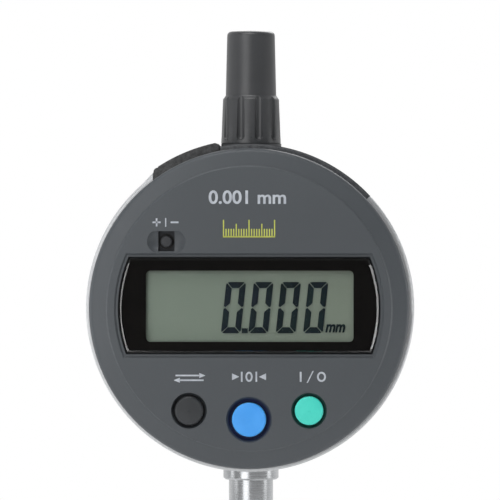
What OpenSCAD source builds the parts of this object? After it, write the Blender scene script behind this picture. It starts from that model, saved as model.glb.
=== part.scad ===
// Digital dial indicator: round 59 mm case, 8 mm stem, 12.7 mm spindle travel.
// Frame: Z runs up the spindle axis and the face looks towards -Y. The origin is on the
// stem's axis, at the middle of the length that a clamp grips. Units are millimetres.

/* [Case] */
// Outer diameter of the metal frame ring
ring_d = 59; // [58:0.5:60]
// Outer diameter of the front case
bezel_d = 57.3; // [57:0.1:57.6]
// Distance from the spindle axis to the front face
face_depth = 15.5; // [15.3:0.1:16]
// Distance from the spindle axis to the back of the rear cover
back_depth = 8; // [8:0.1:9]
// Diameter of the raised disc on the face
disc_d = 50.9; // [50.5:0.1:51.5]
// Height of the step around the raised disc
disc_step = 0.25; // [0.15:0.05:0.4]
// Radius of the hole in the rear lug
lug_hole_r = 3.25; // [3:0.05:3.3]
// Thickness of the rear lug
lug_t = 5; // [4.5:0.1:6]
// Distance from the rear cover to the centre of the lug hole
lug_reach = 6.5; // [6.2:0.1:7]

/* [Display] */
// Radius of the window's curved ends, about the case centre
window_r = 23.2; // [23:0.1:23.4]
// Height of the window's top edge above the case centre
window_top = 9.05; // [8.9:0.05:9.2]
// Depth of the window's bottom edge below the case centre
window_low = 7.9; // [7.8:0.05:8.1]
// How far the window stands out of the face
window_proud = 0.35; // [0.2:0.05:0.5]

/* [Keys] */
// Sideways distance of the two small round keys from the centre line
key_x = 10.7; // [10.5:0.1:11]
// Depth of the two small round keys below the case centre
key_z = 18.15; // [18:0.05:18.5]
// Depth of the large key below the case centre
zero_z = 19.75; // [19.6:0.05:20]
// Radius of a small round key
key_r = 2.55; // [2.4:0.05:2.7]
// Radius of the large round key
zero_r = 3.05; // [3:0.05:3.1]
// Travel of each key
key_travel = 0.5; // [0.3:0.1:0.5]

/* [Spindle and stem] */
// Diameter of the stem
stem_d = 8; // [8:0.001:8]
// Length of the stem's plain part, below its collar
stem_l = 17; // [16:0.5:18]
// Diameter of the spindle
spindle_d = 4.8; // [4.7:0.05:4.8]
// Travel of the spindle
travel = 12.7; // [12:0.1:12.7]
// Running clearance between the spindle and its bushes, on the radius
run = 0.03; // [0.02:0.01:0.05]
// Diameter of the carbide ball
ball_d = 3; // [2.8:0.1:3]

/* [Cap] */
// Height of the spindle cap
cap_h = 20.3; // [20:0.1:20.5]
// Radius of the cap's skirt at its foot
cap_foot_r = 5.4; // [5.3:0.05:5.45]
// Number of flutes in the skirt
flutes = 10; // [8:1:12]

/* [Battery] */
// Diameter of the button cell
cell_d = 11.6; // [11.6:0.1:11.6]
// Thickness of the button cell
cell_t = 5.4; // [5.4:0.1:5.4]

/* [Hidden] */
$fn = 96;
eps = 0.01;

ring_r = ring_d / 2;
bezel_r = bezel_d / 2;
disc_r = disc_d / 2;
spindle_r = spindle_d / 2;
bush_r = spindle_r + run;
ball_r = ball_d / 2;
cell_r = cell_d / 2;

// Place of the sign key
sign_x = -14.75;
sign_z = 12;

// Depths of the layers behind the face, along Y
face_y = -face_depth;
plate_y = face_y + 2.1;      // back of the face plate
part_y = -8.2;               // parting plane between front case and frame
board_t = 1;
board_y = part_y - board_t;  // front of the main board
shelf_y = part_y + 1.2;      // back of the frame's front flange
cover_y = back_depth - 2;    // front of the rear cover

// Heights along the spindle axis, about the case centre
seat_z = -ring_r + 0.3;      // spot face that the stem's collar meets
collar_h = 2;
stem_top = seat_z - collar_h;
stem_end = stem_top - stem_l;
case_z = stem_l / 2 - stem_top;
boss_z = -24;                // top of the frame's stem boss
nut_h = 1.8;
rest_z = boss_z + nut_h + 1.2; // where the carrier rests on the cushion
spindle_low = stem_end - travel - 1;
spindle_high = 33.5;
contact_l = 7.3;
bush_foot = 18;              // under the upper bush's flange
cap_z = ring_r + 0.05;       // foot of the spindle cap
collar_r = 3.82;             // threaded collar that the cap grips
collar_top = 36.3;

// Places of the screws and posts, as [angle, radius] about the case centre
post_r = 25;
post_angles = [30, 150, 215, 325];
rear_r = 25.2;
rear_angles = [48, 135, 225, 315];
board_r = 23.2;
board_screw_r = 21.9;
board_screw_angles = [-33, 213, 38];

// Battery bay and data port, in the head block
bay_x = -11.45;
bay_w = 12.1;
bay_low = 12;
cell_z = 18.4;
cell_y = -6.45;
lid_left = -17.35;
lid_right = -5.5;
lid_r = ring_r + 0.78;
port_a = 62;                 // direction of the port, from +X towards +Z
port_y = -2;
block_a = 43;                // right-hand end of the head block

// Spindle carrier, scale and guide
carrier_h = 9;
scale_y = -5.3;
scale_t = 1.2;
scale_w = 9;
scale_top = -2.5;
pin_r = 0.8;
pin_y = 0.5;
pin_z = rest_z + 4.5;
rail_x = 7.2;
rail_w = 5;
rail_top = 2;
head_y = scale_y - 0.3 - board_t;

// ---- shared shapes ----

module at_case() { translate([0, 0, case_z]) children(); }

// A shape turned about the case's own axis: its X is the radius, its Y the depth
module turned() { rotate([-90, 0, 0]) rotate_extrude() children(); }

// A flat outline in X and Z, thickened from depth y0 to y1
module slab(y0, y1) { translate([0, y1, 0]) rotate([90, 0, 0]) linear_extrude(y1 - y0) children(); }

// A flat outline in Y and Z, thickened from x0 to x1
module beam(x0, x1) { translate([x0, 0, 0]) rotate([90, 0, 90]) linear_extrude(x1 - x0) children(); }

// A round bar along Y at [x, z]
module rod(x, z, r, y0, y1) { translate([x, y0, z]) rotate([-90, 0, 0]) cylinder(r = r, h = y1 - y0); }

// A round bar along Z, on the spindle axis
module column(r, z0, z1) { translate([0, 0, z0]) cylinder(r = r, h = z1 - z0); }

module tube(r_out, r_in, z0, z1) {
  difference() {
    column(r_out, z0, z1);
    column(r_in, z0 - eps, z1 + eps);
  }
}

function polar(a, r) = [r * cos(a), r * sin(a)];

// Children at each angle on a circle about the case's axis, without turning them
module around(angles, r) {
  for (a = angles) translate([r * cos(a), 0, r * sin(a)]) children();
}

// Children set up at the port: X along the rim, Z out of the case
module at_port() { rotate([0, 90 - port_a, 0]) children(); }

// Pan-head screw along Y: the head starts at y0 and the shank runs to y1
module screw_y(head_r, head_h, shank_r, y0, y1) {
  way = y1 > y0 ? 1 : -1;
  head_end = y0 + way * head_h;
  difference() {
    union() {
      rod(0, 0, head_r, min(y0, head_end), max(y0, head_end));
      rod(0, 0, shank_r, min(head_end, y1), max(head_end, y1));
    }
    for (turn = [0, 90]) translate([0, y0, 0]) rotate([0, turn, 0])
      cube([head_r * 1.2, head_h, head_r * 0.28], center = true);
  }
}

// ---- front case, window and display ----

// The window's outline with its edges moved out by grow and its front edge bevelled by cut
module window_form(y0, y1, grow, cut) {
  intersection() {
    turned() polygon([[0, y0], [window_r + grow - cut, y0], [window_r + grow, y0 + abs(cut)],
      [window_r + grow, y1], [0, y1]]);
    beam(-window_r - 1, window_r + 1) polygon([
      [y0, -window_low - grow + cut], [y0 + abs(cut), -window_low - grow], [y1, -window_low - grow],
      [y1, window_top + grow], [y0 + abs(cut), window_top + grow], [y0, window_top + grow - cut]]);
  }
}

// Round well for a key: a guide hole, a wider gap in front of it, and a sloping mouth
module key_well(x, z, r, gap, mouth) {
  mouth_d = 0.9;
  rod(x, z, r + 0.12, face_y - 1, plate_y + 1);
  rod(x, z, r + gap, face_y - 1, face_y + 1.5);
  translate([x, face_y - eps, z]) rotate([-90, 0, 0])
    cylinder(r1 = r + mouth, r2 = r + gap, h = mouth_d);
}

// Finger scoop around the sign key, cut straight along its top
module sign_scoop() {
  scoop_r = 2.6;
  lift = 1.55;
  half = 1.36;
  top = 1.85;
  translate([sign_x, face_y - lift, sign_z]) intersection() {
    union() {
      rotate([0, 90, 0]) cylinder(r = scoop_r, h = 2 * half, center = true);
      for (side = [-half, half]) translate([side, 0, 0]) sphere(r = scoop_r);
    }
    translate([-6, -6, -6]) cube([12, 12, 6 + top]);
  }
}

module front_case() at_case() color("#4d5055") difference() {
  edge = 0.95;
  wall = 1.6;
  slope = 12;
  band_y = face_y + disc_step;
  rim_r = bezel_r - edge;
  turn_r = rim_r + edge * sin(slope);  // where the band runs into the rounded edge
  turn_y = band_y + (turn_r - disc_r - 0.15) * tan(slope);
  rim_y = turn_y + edge * cos(slope);
  union() {
    turned() union() {
      polygon([[0, face_y], [disc_r - 0.15, face_y], [disc_r + 0.15, band_y], [turn_r, turn_y],
        [rim_r, rim_y], [bezel_r, rim_y], [bezel_r, part_y - 0.4], [bezel_r - 0.4, part_y],
        [bezel_r - wall, part_y], [bezel_r - wall, plate_y], [0, plate_y]]);
      translate([rim_r - 0.005, rim_y + 0.005]) circle(r = edge);
    }
    around(post_angles, post_r) rod(0, 0, 1.6, plate_y - 0.5, part_y);
  }
  window_form(face_y - 1, face_y + 1.4, 0.22, 0);
  window_form(face_y - eps, face_y + 0.35, 0.57, -0.35 + eps);
  slab(face_y, plate_y + 1) translate([-19.6, -6.9]) square([39.2, 14.7]);
  for (side = [-1, 1]) key_well(side * key_x, -key_z, key_r, 0.3, 0.67);
  key_well(0, -zero_z, zero_r, 0.47, 1.07);
  sign_scoop();
  rod(sign_x, sign_z, 1.4, face_y - 1, plate_y + 1);
  translate([sign_x - 1.45, face_y - 1, sign_z - 1.75]) cube([2.9, 2.7, 3.6]);
  around(post_angles, post_r) rod(0, 0, 0.8, part_y - 4.6, part_y + 1);
}

module window() at_case() color("#101010") window_form(face_y - window_proud, face_y + 1.3, 0, 0.45);

module window_tape() at_case() color("#303030") difference() {
  window_form(face_y + 1.3, face_y + 1.4, -0.2, 0);
  slab(face_y, plate_y) translate([-19.6, -6.9]) square([39.2, 14.7]);
}

glass_y = plate_y + 0.2;
glass_t = 2;

module display_glass() at_case() color("#8b988c")
  slab(glass_y, glass_y + glass_t) translate([-20.5, -7.4]) square([41, 16.3]);

module display_holder() at_case() color("#2b2d30") difference() {
  slab(plate_y + 0.1, board_y) translate([-22.5, -9.3]) square([45, 19.2]);
  slab(plate_y, glass_y + glass_t) translate([-20.6, -7.5]) square([41.2, 16.5]);
  for (z = [-7.3, 7.2]) slab(plate_y, board_y + 1) translate([-19.6, z - 0.05]) square([39.2, 1.7]);
}

module zebra_strips() at_case() color("#c9a9b0")
  for (z = [-7.3, 7.2]) slab(glass_y + glass_t, board_y) translate([-19.5, z]) square([39, 1.6]);

// ---- main board ----

module main_board() at_case() color("#1f5a3c") difference() {
  rod(0, 0, board_r, board_y, part_y);
  around(board_screw_angles, board_screw_r) rod(0, 0, 0.9, board_y - 1, part_y + 1);
}

// Parts soldered to the back of the board, clear of the read head
module board_chips() at_case() color("#202225") {
  slab(part_y, part_y + 1) translate([-14, -15]) square([7, 7]);
  slab(part_y, part_y + 0.9) translate([5, -16]) square([7, 3]);
  for (x = [8, 11, 14]) slab(part_y, part_y + 0.8) translate([x, -8]) square([1.6, 3.2]);
}

module board_screws() at_case() color("silver")
  around(board_screw_angles, board_screw_r) screw_y(1.3, 0.7, 0.68, board_y - 0.7, shelf_y - 0.1);

// ---- keys ----

// Round key along Y: domed top, plain body, and a flange that keeps it in the case
module key(x, z, r, flange_r, top_y) {
  crown = 0.35;
  translate([x, 0, z]) turned() union() {
    polygon([[0, top_y - 0.06], [r - crown, top_y], [r - crown, top_y + crown], [r, top_y + crown],
      [r, plate_y + 0.05], [flange_r, plate_y + 0.05], [flange_r, plate_y + 0.75], [1.4, plate_y + 0.75],
      [1.4, plate_y + 0.85], [0, plate_y + 0.85]]);
    translate([r - crown, top_y + crown]) circle(r = crown);
  }
}

module key_sign() at_case() color("#3b3e42") key(sign_x, sign_z, 1.02, 1.9, face_y + 0.45);
module key_unit() at_case() color("#33363a") key(-key_x, -key_z, key_r, key_r + 0.8, face_y - 0.35);
module key_zero() at_case() color("#4a9be8") key(0, -zero_z, zero_r, zero_r + 0.8, face_y - 0.35);
module key_power() at_case() color("#4cd6c0") key(key_x, -key_z, key_r, key_r + 0.8, face_y - 0.35);

// Hollow rubber dome that returns a key; the pill inside it stands one key travel off the board
module dome(x, z, r) {
  head = plate_y + 0.9;
  core = r * 0.5;
  pill = board_y - key_travel - 0.05;
  translate([x, 0, z]) turned() polygon([[0, head], [core, head], [core, board_y - 1.5],
    [r, board_y - 0.6], [r, board_y], [r - 0.6, board_y], [core, board_y - 1], [core, pill], [0, pill]]);
}

module key_mat() at_case() color("#6a6d70") {
  difference() {
    slab(board_y - 0.6, board_y) intersection() {
      circle(r = board_r);
      translate([-15, -24]) square([30, 10.5]);
    }
    for (p = [[-key_x, -key_z], [0, -zero_z], [key_x, -key_z]])
      rod(p[0], p[1], 2.6, board_y - 1, board_y + 1);
  }
  for (p = [[-key_x, -key_z], [0, -zero_z], [key_x, -key_z]]) dome(p[0], p[1], 3.0);
}

module sign_dome() at_case() color("#6a6d70") dome(sign_x, sign_z, 1.8);

// ---- frame, head block and rear cover ----

// Outline of the head block, seen from the front, out to radius rim
module block_outline(rim) {
  difference() {
    union() {
      intersection() {
        circle(r = rim);
        polygon([[5, 19], [20.5 * cos(block_a), 20.5 * sin(block_a)],
          [40 * cos(block_a), 40 * sin(block_a)], [20, 40], [lid_left - 0.1, 40], [lid_left - 0.1, 19]]);
      }
      intersection() {
        circle(r = 27);
        translate([-19.8, 11]) square([15.3, 20]);
      }
    }
    translate([-4.5, 0]) square([9, 19]);
  }
}

module main_frame() at_case() color("#b9bcbf") difference() {
  round_r = 0.5;
  union() {
    difference() {
      union() {
        turned() union() {
          polygon([[26.6, part_y], [ring_r - round_r, part_y], [ring_r - round_r, part_y + round_r],
            [ring_r, part_y + round_r], [ring_r, cover_y - 0.3], [ring_r - 0.3, cover_y], [26.6, cover_y]]);
          translate([ring_r - round_r, part_y + round_r]) circle(r = round_r);
          polygon([[21, part_y], [27, part_y], [27, shelf_y], [21, shelf_y]]);
        }
        slab(part_y + round_r, cover_y - 0.3) polygon([polar(142, ring_r), [lid_left - 0.1, 24.25],
          [lid_left - 0.1, 20], polar(142, 27)]);
      }
      slab(part_y - 1, cover_y + 1) block_outline(ring_r + 1);
    }
    slab(-5.5, cover_y) intersection() {
      circle(r = 27);
      translate([-8, -28]) square([22.5, 28 + boss_z]);
    }
    slab(-1.6, cover_y) intersection() {
      circle(r = 27);
      translate([rail_x + rail_w, -26]) square([2.3, 26 + rail_top]);
    }
    for (side = [-1, 1]) slab(head_y + board_t, -2.6) intersection() {
      circle(r = 27);
      translate([side > 0 ? 15 : -27, -8.5]) square([12, 12]);
    }
    around([rear_angles[2], rear_angles[3]], rear_r) rod(0, 0, 2, 0, cover_y);
  }
  column(5.2, -ring_r - 1, seat_z);
  column(4.4, -ring_r - 1, boss_z + 1);
  around(post_angles, post_r) rod(0, 0, 0.95, part_y - 1, shelf_y + 1);
  around(board_screw_angles, board_screw_r) rod(0, 0, 0.7, part_y - 1, shelf_y + 1);
  around([rear_angles[2], rear_angles[3]], rear_r) rod(0, 0, 1, cover_y - 5, cover_y + 1);
  for (side = [-1, 1]) rod(side * 17, -2.5, 0.7, head_y, 0);
  for (z = [rest_z + 1, rail_top - 1.3]) translate([rail_x, 0.5, z]) rotate([0, 90, 0])
    cylinder(r = 0.7, h = 9);
}

module case_screws() at_case() color("silver")
  around(post_angles, post_r) screw_y(1.5, 0.8, 0.78, shelf_y + 0.8, part_y - 4.4);

module head_block() at_case() color("#43464b") difference() {
  union() {
    intersection() {
      slab(part_y, cover_y) block_outline(ring_r + 1);
      turned() polygon([[0, part_y], [ring_r - 0.3, part_y], [ring_r, part_y + 0.3],
        [ring_r, cover_y - 0.3], [ring_r - 0.3, cover_y], [0, cover_y]]);
    }
    column(5.5, 26, cap_z);
  }
  column(3.9, 10, 40);
  column(5.7, cap_z, 40);
  // battery bay, with a shallow seat for the lid
  translate([bay_x - bay_w / 2, -7.2, bay_low]) cube([bay_w, 6.5, 30]);
  slab(part_y - 1, 1.5) difference() {
    translate([lid_left - 0.2, 20]) square([lid_right - lid_left + 0.35, 15]);
    circle(r = 28.6);
  }
  translate([bay_x - 2, part_y - 1, bay_low - 0.3]) cube([4, 7.5, 0.4]);
  // data port, with a seat for its cover
  at_port() {
    translate([-5.5, port_y - 2.4, 21.5]) cube([11, 4.8, 10]);
    translate([-6.7, port_y - 3.7, 28.3]) cube([13.4, 7.4, 5]);
    translate([-3, port_y - 1, 15]) cube([6, 2, 10]);
  }
  around([rear_angles[0], rear_angles[1]], rear_r) rod(0, 0, 1, cover_y - 5, cover_y + 1);
}

module rear_cover() at_case() color("#aeb1b4") {
  lug_y = back_depth + lug_reach;
  lug_r = 6;
  difference() {
    union() {
      turned() polygon([[0, cover_y], [28.9, cover_y], [28.9, back_depth - 0.5],
        [28.4, back_depth], [0, back_depth]]);
      beam(-lug_t / 2, lug_t / 2) union() {
        translate([lug_y, 0]) circle(r = lug_r);
        translate([back_depth - 0.5, -lug_r]) square([lug_reach + 0.5, 2 * lug_r]);
      }
    }
    translate([-lug_t, lug_y, 0]) rotate([0, 90, 0]) cylinder(r = lug_hole_r, h = 2 * lug_t);
    around(rear_angles, rear_r) {
      rod(0, 0, 1.1, cover_y - 1, back_depth + 1);
      rod(0, 0, 2, back_depth - 1, back_depth + 1);
    }
  }
}

module rear_cover_screws() at_case() color("silver")
  around(rear_angles, rear_r) screw_y(1.85, 0.95, 0.98, back_depth - 0.05, cover_y - 4.5);

// ---- battery ----

// Outline of the arched lid, with both outer corners rounded
module lid_outline() {
  round_r = 0.8;
  ends = [lid_left + round_r, lid_right - round_r];
  intersection() {
    difference() {
      circle(r = lid_r);
      circle(r = 28.7);
    }
    union() {
      translate([ends[0], 20]) square([ends[1] - ends[0], 15]);
      for (x = ends) {
        z = sqrt(pow(lid_r - round_r - 0.005, 2) - x * x);
        translate([x, z]) circle(r = round_r);
        translate([x < -12 ? lid_left : x, 20]) square([round_r, z - 20]);
      }
    }
  }
}

// Arched lid with the tray that carries the cell
module battery_drawer() at_case() color("#232426") {
  tray_w = bay_w - 0.2;
  left = bay_x - tray_w / 2;
  difference() {
    union() {
      slab(part_y + 0.1, 1.4) lid_outline();
      slab(-7.1, -1.1) intersection() {
        circle(r = 29);
        translate([left, bay_low + 0.5]) square([tray_w, 20]);
      }
    }
    rod(bay_x, cell_z, cell_r + 0.05, -6.5, 0);
    translate([bay_x - cell_r - 0.05, -6.5, 0]) cube([2 * cell_r + 0.1, 7, cell_z]);
    translate([bay_x - 2, -8, 0]) cube([4, 4, cell_z + 2]);
  }
}

module button_cell() at_case() color("#c4c6c8") translate([bay_x, 0, cell_z]) turned() polygon([
  [0, cell_y], [4.6, cell_y], [4.9, cell_y + 0.4], [cell_r - 0.3, cell_y + 0.5], [cell_r, cell_y + 0.8],
  [cell_r, cell_y + cell_t - 0.2], [cell_r - 0.2, cell_y + cell_t], [0, cell_y + cell_t]]);

module cell_contact_plus() at_case() color("#b8a070") {
  translate([bay_x + 1.5, 0, 0]) {
    slab(-1, -0.7) translate([0, bay_low]) square([3, 8]);
    slab(part_y + 1, -0.7) translate([0, bay_low]) square([3, 0.25]);
  }
}

module cell_contact_minus() at_case() color("#b8a070") {
  translate([bay_x - 1.3, 0, 0]) {
    slab(-7.2, -6.95) translate([0, bay_low]) square([2.6, 6.5]);
    slab(-7.2, cell_y - 0.1) translate([0, bay_low + 5.5]) square([2.6, 1]);
    slab(part_y, -6.95) translate([0, bay_low - 0.25]) square([2.6, 0.25]);
  }
}

// ---- data port ----

module port_socket() at_case() color("#1c1d1f") at_port() difference() {
  translate([-5.4, port_y - 2.3, 21.5]) cube([10.8, 4.6, 5.7]);
  translate([-4.6, port_y - 1.5, 23]) cube([9.2, 3, 10]);
}

module port_pins() at_case() color("gold") at_port()
  for (i = [-2 : 2]) for (row = [-0.6, 0.6])
    translate([i * 1.6 - 0.25, port_y + row - 0.25, 23]) cube([0.5, 0.5, 3.4]);

module port_cover() at_case() color("#3f4246") {
  intersection() {
    slab(port_y - 3.6, port_y + 3.6) circle(r = ring_r);
    at_port() translate([-6.6, port_y - 3.6, 28.35]) cube([13.2, 7.2, 3]);
  }
  at_port() translate([-5.3, port_y - 2.2, 27.5]) cube([10.6, 4.4, 1]);
}

// ---- spindle cap and upper bush ----

module spindle_cap() at_case() color("#4a4c50") difference() {
  shoulder = cap_z + 8.1;
  top = cap_z + cap_h;
  round_r = 0.8;
  skirt_r = cap_foot_r - 0.32;
  neck_r = 4.57;
  crown_r = 4.32;
  flute_r = 0.78;
  rotate_extrude() union() {
    polygon([[0, cap_z], [cap_foot_r - 0.12, cap_z], [cap_foot_r, cap_z + 0.12], [skirt_r, shoulder - 0.1],
      [skirt_r - 0.12, shoulder + 0.08], [neck_r + 0.1, shoulder + 0.45], [neck_r, shoulder + 0.65],
      [crown_r, top - round_r], [crown_r - round_r, top - round_r], [crown_r - round_r, top], [0, top + 0.15]]);
    translate([crown_r - round_r, top - round_r]) circle(r = round_r);
  }
  column(collar_r + run, cap_z - 1, collar_top + 0.3);
  column(3, cap_z, top - 1.3);
  for (i = [0 : flutes - 1]) rotate([0, 0, i * 360 / flutes - 73.5])
    translate([cap_foot_r + 0.08, 0, cap_z + 1.35]) {
      cylinder(r = flute_r, h = 9);
      sphere(r = flute_r);
    }
}

module upper_bush() at_case() color("#9a9ca0") difference() {
  union() {
    column(4.4, bush_foot, 19);
    column(3.9, bush_foot, cap_z - 0.1);
    column(collar_r, bush_foot, collar_top);
  }
  column(bush_r, bush_foot - 1, collar_top + 1);
}

// ---- stem ----

module stem() at_case() color("#c8cacc") difference() {
  union() {
    rotate_extrude() polygon([[0, stem_end], [stem_d / 2 - 0.4, stem_end], [stem_d / 2, stem_end + 0.4],
      [stem_d / 2, stem_top], [0, stem_top]]);
    rotate_extrude() polygon([[0, stem_top], [4.7, stem_top], [5, stem_top + 0.3], [5, seat_z], [0, seat_z]]);
    column(4.38, seat_z - 1, boss_z + nut_h);
  }
  column(3.1, stem_end - 1, boss_z + nut_h + 1);
}

module stem_nut() at_case() color("silver") difference() {
  translate([0, 0, boss_z]) cylinder(r = 6.4, h = nut_h, $fn = 6);
  column(4.4, boss_z - 1, boss_z + nut_h + 1);
}

wiper_h = 1.2;

module stem_bushes() at_case() color("#b58b45") {
  tube(3.1, bush_r, stem_end + wiper_h, stem_end + wiper_h + 7);
  tube(3.1, bush_r, boss_z + nut_h - 8, boss_z + nut_h - 0.2);
}

module stem_wiper() at_case() color("#1b1b1c") tube(3.08, bush_r + 0.02, stem_end, stem_end + wiper_h);

module stop_cushion() at_case() color("#222324") tube(4.3, 2.7, boss_z + nut_h, rest_z);

// ---- spindle and what rides on it ----

module spindle() at_case() color("#d0d2d4") difference() {
  rotate_extrude() polygon([[0, spindle_low], [spindle_r, spindle_low], [spindle_r, spindle_high - 0.4],
    [spindle_r - 0.4, spindle_high], [0, spindle_high]]);
  column(1.25, spindle_low - 1, spindle_low + 5);
  column(1.25, spindle_high - 6, spindle_high + 1);
}

module scale_carrier() at_case() color("#8f9296") difference() {
  union() {
    translate([-5, scale_y + scale_t, rest_z]) cube([10, 8.1, carrier_h]);
    translate([-scale_w / 2, scale_y + scale_t, rest_z]) cube([scale_w, 0.4, scale_top - rest_z]);
  }
  column(spindle_r, rest_z - 1, rest_z + carrier_h + 1);
  translate([-0.4, spindle_r - 0.5, rest_z - 1]) cube([0.8, 5, carrier_h + 2]);
  translate([-6, 3.2, pin_z]) rotate([0, 90, 0]) cylinder(r = 0.6, h = 12);
  translate([3, pin_y, pin_z]) rotate([0, 90, 0]) cylinder(r = pin_r, h = 3);
}

module carrier_screw() at_case() color("silver") translate([0, 3.2, pin_z]) rotate([0, 90, 0]) {
  translate([0, 0, -5.2]) cylinder(r = 0.58, h = 9.3);
  difference() {
    translate([0, 0, -5.8]) cylinder(r = 1.1, h = 0.8);
    translate([-1.5, -0.15, -6]) cube([3, 0.3, 0.5]);
  }
}

module scale_glass() at_case() color("#9fb7c4")
  slab(scale_y, scale_y + scale_t) translate([-scale_w / 2, rest_z + 1]) square([scale_w, scale_top - rest_z - 1]);

module guide_pin() at_case() color("silver") translate([3, pin_y, pin_z]) rotate([0, 90, 0])
  cylinder(r = pin_r, h = 7.6);

module guide_rail() at_case() color("#8a8d90") difference() {
  low = boss_z + 1;
  slot_r = pin_r + run;
  translate([rail_x, -1.6, low]) cube([rail_w, 4.2, rail_top - low]);
  translate([rail_x - 1, pin_y, 0]) rotate([0, 90, 0]) linear_extrude(rail_w) union() {
    translate([-pin_z - travel - 0.6, -slot_r]) square([travel + 1.2, 2 * slot_r]);
    for (z = [pin_z - 0.6, pin_z + travel + 0.6]) translate([-z, 0]) circle(r = slot_r);
  }
  for (z = [rest_z + 1, rail_top - 1.3]) translate([rail_x - 1, 0.5, z]) rotate([0, 90, 0])
    cylinder(r = 0.8, h = rail_w + 2);
}

module rail_screws() at_case() color("silver") for (z = [rest_z + 1, rail_top - 1.3])
  translate([rail_x - 0.7, 0.5, z]) rotate([0, 90, 0]) {
    cylinder(r = 1.3, h = 0.7);
    cylinder(r = 0.68, h = 7.6);
  }

// Compression spring between the carrier and the upper bush: one ring of points per step, joined to the next
coil_turns = 11;
coil_steps = 16;
coil_sides = 6;
coil_r = 3.3;
wire_r = 0.22;
coil_low = rest_z + carrier_h + wire_r + 0.05;
coil_high = bush_foot - wire_r - 0.05;

function coil_point(i, j) =
  let (a = 360 * i / coil_steps, b = 360 * j / coil_sides,
    rise = (coil_high - coil_low) * i / (coil_turns * coil_steps), r = coil_r + wire_r * cos(b))
  [r * cos(a), r * sin(a), coil_low + rise + wire_r * sin(b)];

module return_spring() at_case() color("#a8aaad") {
  last = coil_turns * coil_steps;
  points = [for (i = [0 : last]) for (j = [0 : coil_sides - 1]) coil_point(i, j)];
  skin = [for (i = [0 : last - 1]) for (j = [0 : coil_sides - 1])
    let (a = i * coil_sides + j, b = i * coil_sides + (j + 1) % coil_sides) [a, a + coil_sides, b + coil_sides, b]];
  ends = [[for (j = [0 : coil_sides - 1]) j],
    [for (j = [coil_sides - 1 : -1 : 0]) last * coil_sides + j]];
  polyhedron(points = points, faces = concat(skin, ends), convexity = 10);
}

// ---- encoder head ----

module read_head() at_case() color("#26624a") difference() {
  union() {
    slab(head_y, head_y + board_t) translate([-20, -8]) square([40, 11]);
    slab(head_y + board_t, head_y + board_t + 0.15) translate([-4, -7.2]) square([8, 4.6]);
  }
  for (side = [-1, 1]) rod(side * 17, -2.5, 0.8, head_y - 1, head_y + 3);
}

module read_head_screws() at_case() color("silver") for (side = [-1, 1])
  translate([side * 17, 0, -2.5]) screw_y(1.3, 0.7, 0.68, head_y - 0.7, head_y + 3);

module ribbon_cable() at_case() color("#c07a30") beam(-3, 3)
  polygon([[head_y, 2.5], [head_y - 0.2, 2.5], [part_y + 0.2, 5], [part_y + 0.2, 7.5],
    [part_y, 7.5], [part_y, 4.9], [head_y - 0.35, 2.2], [head_y, 2.2]]);

// ---- contact point ----

module contact_point() at_case() color("#b9bbbd") {
  ball_z = spindle_low - contact_l + ball_r;
  difference() {
    rotate_extrude() polygon([[0, spindle_low + 4.5], [1.23, spindle_low + 4.5], [1.23, spindle_low],
      [2.4, spindle_low], [2.4, spindle_low - 2], [2.0, spindle_low - 2.4], [1.35, ball_z + 0.2], [0, ball_z + 0.2]]);
    translate([0, 0, ball_z]) sphere(r = ball_r);
    for (side = [-1, 1]) translate([side * 3, 0, spindle_low - 1.1]) cube([2, 6, 1.2], center = true);
  }
}

module contact_ball() at_case() color("#5f6468")
  translate([0, 0, spindle_low - contact_l + ball_r]) sphere(r = ball_r);

front_case();
window();
window_tape();
display_glass();
display_holder();
zebra_strips();
main_board();
board_chips();
board_screws();
key_sign();
key_unit();
key_zero();
key_power();
key_mat();
sign_dome();
main_frame();
head_block();
case_screws();
rear_cover();
rear_cover_screws();
battery_drawer();
button_cell();
cell_contact_plus();
cell_contact_minus();
port_socket();
port_pins();
port_cover();
spindle_cap();
upper_bush();
stem();
stem_nut();
stem_bushes();
stem_wiper();
stop_cushion();
spindle();
scale_carrier();
carrier_screw();
scale_glass();
guide_pin();
guide_rail();
rail_screws();
return_spring();
read_head();
read_head_screws();
ribbon_cable();
contact_point();
contact_ball();
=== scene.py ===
import math

import bmesh
import bpy
from mathutils import Matrix, Vector


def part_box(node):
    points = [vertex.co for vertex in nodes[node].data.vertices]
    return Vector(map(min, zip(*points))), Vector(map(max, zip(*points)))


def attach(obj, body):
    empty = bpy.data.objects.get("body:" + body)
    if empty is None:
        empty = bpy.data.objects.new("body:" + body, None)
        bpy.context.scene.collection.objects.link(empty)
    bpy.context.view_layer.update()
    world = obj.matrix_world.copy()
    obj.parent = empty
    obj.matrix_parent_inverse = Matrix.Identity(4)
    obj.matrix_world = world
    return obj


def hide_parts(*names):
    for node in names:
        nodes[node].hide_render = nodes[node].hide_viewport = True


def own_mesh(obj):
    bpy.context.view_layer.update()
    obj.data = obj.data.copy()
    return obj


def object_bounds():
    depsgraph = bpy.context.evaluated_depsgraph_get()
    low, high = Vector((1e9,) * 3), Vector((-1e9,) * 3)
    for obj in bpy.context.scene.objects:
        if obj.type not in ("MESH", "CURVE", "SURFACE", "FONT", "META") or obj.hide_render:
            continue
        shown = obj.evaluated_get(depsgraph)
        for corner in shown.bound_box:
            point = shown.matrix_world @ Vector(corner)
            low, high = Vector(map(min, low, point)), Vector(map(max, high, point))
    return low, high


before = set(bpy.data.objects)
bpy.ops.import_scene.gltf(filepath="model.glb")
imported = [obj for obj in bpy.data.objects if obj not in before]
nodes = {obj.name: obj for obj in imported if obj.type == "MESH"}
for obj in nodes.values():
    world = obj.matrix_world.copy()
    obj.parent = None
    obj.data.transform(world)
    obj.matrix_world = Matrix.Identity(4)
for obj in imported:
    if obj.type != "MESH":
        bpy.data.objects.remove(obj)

cad_box = [list(corner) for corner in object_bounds()]


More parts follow.
